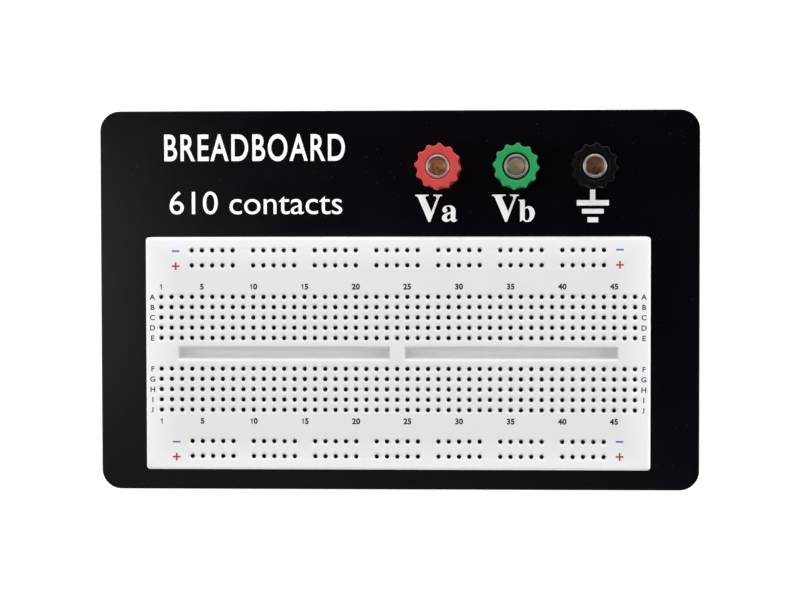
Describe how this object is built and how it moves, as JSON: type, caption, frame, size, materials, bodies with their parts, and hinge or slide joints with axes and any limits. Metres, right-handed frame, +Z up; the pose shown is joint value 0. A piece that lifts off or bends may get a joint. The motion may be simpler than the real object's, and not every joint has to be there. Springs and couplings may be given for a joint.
{
  "type": "solderless breadboard",
  "caption": "Solderless breadboard with bus rows, stuck on a black metal plate with rubber feet and red, green and black binding posts.",
  "frame": {"origin": "on the table, under the middle of the base plate, at the bottom of the feet", "axes": "+X along the plate's long side, +Y towards the binding posts, +Z up"},
  "size_m": [0.15, 0.095, 0.0283],
  "materials": {
    "painted_plate": "fine matt black powder coat",
    "white_plastic": "satin moulded ABS",
    "foam_tape": "closed-cell foam, matt",
    "clip_metal": "nickel-plated spring bronze",
    "foot_rubber": "matt moulded rubber",
    "red_plastic": "satin moulded",
    "green_plastic": "satin moulded",
    "black_plastic": "satin moulded",
    "stud_metal": "turned, thin nickel plate, brass in the socket",
    "insert_metal": "turned",
    "washer_plastic": "moulded",
    "nut_metal": "nickel-plated, satin",
    "tinned_metal": "tinned"
  },
  "bodies": {
    "base": {"base_plate": "painted_plate", "breadboard_body": "white_plastic", "adhesive_tape": "foam_tape", "terminal_clips_upper": "clip_metal", "terminal_clips_lower": "clip_metal", "bus_clip_upper_negative": "clip_metal", "bus_clip_upper_positive": "clip_metal", "bus_clip_lower_negative": "clip_metal", "bus_clip_lower_positive": "clip_metal", "rubber_foot_rear_left": "foot_rubber", "rubber_foot_rear_right": "foot_rubber", "rubber_foot_front_left": "foot_rubber", "rubber_foot_front_right": "foot_rubber", "red_collar": "red_plastic", "red_stud": "stud_metal", "red_washer": "washer_plastic", "red_nut": "nut_metal", "red_solder_lug": "tinned_metal", "red_lock_nut": "nut_metal", "green_collar": "green_plastic", "green_stud": "stud_metal", "green_washer": "washer_plastic", "green_nut": "nut_metal", "green_solder_lug": "tinned_metal", "green_lock_nut": "nut_metal", "black_collar": "black_plastic", "black_stud": "stud_metal", "black_washer": "washer_plastic", "black_nut": "nut_metal", "black_solder_lug": "tinned_metal", "black_lock_nut": "nut_metal"},
    "red_carrier": {"red_knob_insert": "insert_metal"},
    "red_grip": {"red_knob": "red_plastic"},
    "green_carrier": {"green_knob_insert": "insert_metal"},
    "green_grip": {"green_knob": "green_plastic"},
    "black_carrier": {"black_knob_insert": "insert_metal"},
    "black_grip": {"black_knob": "black_plastic"}
  },
  "joints": [
    {"name": "red_knob_lift", "type": "slide", "parent": "base", "child": "red_carrier", "axis": [0, 0, 1], "range_m": [0, 0.00525]},
    {"name": "red_knob_turn", "type": "hinge", "parent": "red_carrier", "child": "red_grip", "pos_m": [0.0102, 0.0332, 0.012], "axis": [0, 0, 1], "range_deg": [0, 2520]},
    {"name": "green_knob_lift", "type": "slide", "parent": "base", "child": "green_carrier", "axis": [0, 0, 1], "range_m": [0, 0.00525]},
    {"name": "green_knob_turn", "type": "hinge", "parent": "green_carrier", "child": "green_grip", "pos_m": [0.02925, 0.0332, 0.012], "axis": [0, 0, 1], "range_deg": [0, 2520]},
    {"name": "black_knob_lift", "type": "slide", "parent": "base", "child": "black_carrier", "axis": [0, 0, 1], "range_m": [0, 0.00525]},
    {"name": "black_knob_turn", "type": "hinge", "parent": "black_carrier", "child": "black_grip", "pos_m": [0.0483, 0.0332, 0.012], "axis": [0, 0, 1], "range_deg": [0, 2520]}
  ],
  "couplings": [
    {"joint": "red_knob_turn", "follows": "red_knob_lift", "rad_per_m": 8377.6},
    {"joint": "green_knob_turn", "follows": "green_knob_lift", "rad_per_m": 8377.6},
    {"joint": "black_knob_turn", "follows": "black_knob_lift", "rad_per_m": 8377.6}
  ]
}
